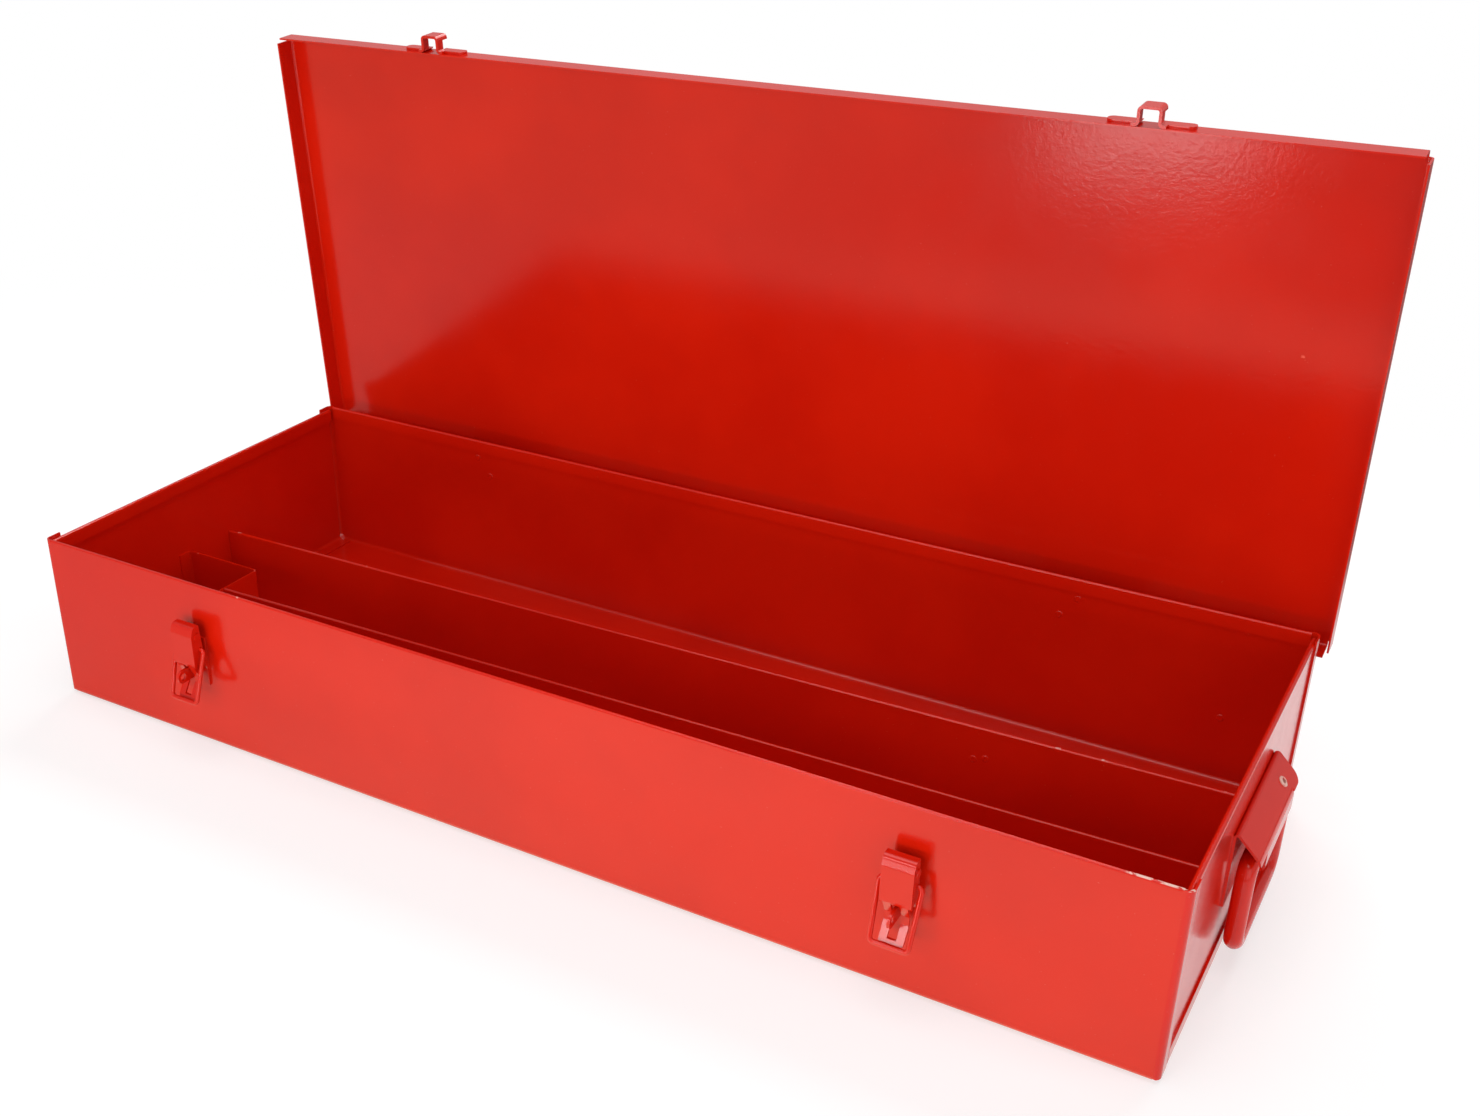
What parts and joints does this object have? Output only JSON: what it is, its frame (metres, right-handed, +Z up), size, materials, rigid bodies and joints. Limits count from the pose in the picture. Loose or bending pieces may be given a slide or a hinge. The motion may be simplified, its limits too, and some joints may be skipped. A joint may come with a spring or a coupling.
{
  "type": "tool case",
  "caption": "Long sheet-steel tool case with a hinged lid, over-centre draw latches with padlock staples, drop handles on the ends and low dividers inside.",
  "frame": {"origin": "centre of the case's underside, on the surface that it stands on", "axes": "+X along the case to its right end, -Y to the front with the latches, +Z up"},
  "size_m": [0.686, 0.294, 0.3588],
  "materials": {
    "case_paint": "gloss",
    "lid_paint": "gloss",
    "divider_paint": "gloss",
    "hardware_paint": "gloss"
  },
  "bodies": {
    "case": {"case_shell": "case_paint", "left_end_panel": "case_paint", "right_end_panel": "case_paint", "long_divider": "divider_paint", "front_divider": "divider_paint", "pocket_divider": "divider_paint", "left_latch_base": "hardware_paint", "right_latch_base": "hardware_paint", "left_lever_pin": "hardware_paint", "right_lever_pin": "hardware_paint", "left_handle_bracket": "hardware_paint", "right_handle_bracket": "hardware_paint", "left_handle_eyelet": "hardware_paint", "right_handle_eyelet": "hardware_paint", "left_hinge_body_leaf": "hardware_paint", "right_hinge_body_leaf": "hardware_paint", "left_hinge_pin": "hardware_paint", "right_hinge_pin": "hardware_paint"},
    "lid": {"lid_panel": "lid_paint", "left_strike": "hardware_paint", "right_strike": "hardware_paint", "left_hinge_lid_leaf": "hardware_paint", "right_hinge_lid_leaf": "hardware_paint"},
    "left_lever": {"left_latch_lever": "hardware_paint"},
    "right_lever": {"right_latch_lever": "hardware_paint"},
    "left_bail": {"left_latch_bail": "hardware_paint"},
    "right_bail": {"right_latch_bail": "hardware_paint"},
    "left_ring": {"left_handle_ring": "hardware_paint"},
    "right_ring": {"right_handle_ring": "hardware_paint"}
  },
  "joints": [
    {"name": "lid_hinge", "type": "hinge", "parent": "case", "child": "lid", "pos_m": [0, 0.1305, 0.086], "axis": [-1, 0, 0], "range_deg": [-85.6, 0]},
    {"name": "left_latch_lever", "type": "hinge", "parent": "case", "child": "left_lever", "pos_m": [-0.2155, -0.1353, 0.074], "axis": [-1, 0, 0], "range_deg": [0, 110]},
    {"name": "left_latch_bail", "type": "hinge", "parent": "left_lever", "child": "left_bail", "pos_m": [-0.2155, -0.1339, 0.066], "axis": [1, 0, 0], "range_deg": [-159.2, 0]},
    {"name": "right_latch_lever", "type": "hinge", "parent": "case", "child": "right_lever", "pos_m": [0.209, -0.1353, 0.074], "axis": [-1, 0, 0], "range_deg": [0, 110]},
    {"name": "right_latch_bail", "type": "hinge", "parent": "right_lever", "child": "right_bail", "pos_m": [0.209, -0.1339, 0.066], "axis": [1, 0, 0], "range_deg": [-159.2, 0]},
    {"name": "left_handle_swing", "type": "hinge", "parent": "case", "child": "left_ring", "pos_m": [-0.3368, 0, 0.06], "axis": [0, 1, 0], "range_deg": [0, 90]},
    {"name": "right_handle_swing", "type": "hinge", "parent": "case", "child": "right_ring", "pos_m": [0.3368, 0, 0.06], "axis": [0, -1, 0], "range_deg": [0, 90]}
  ]
}
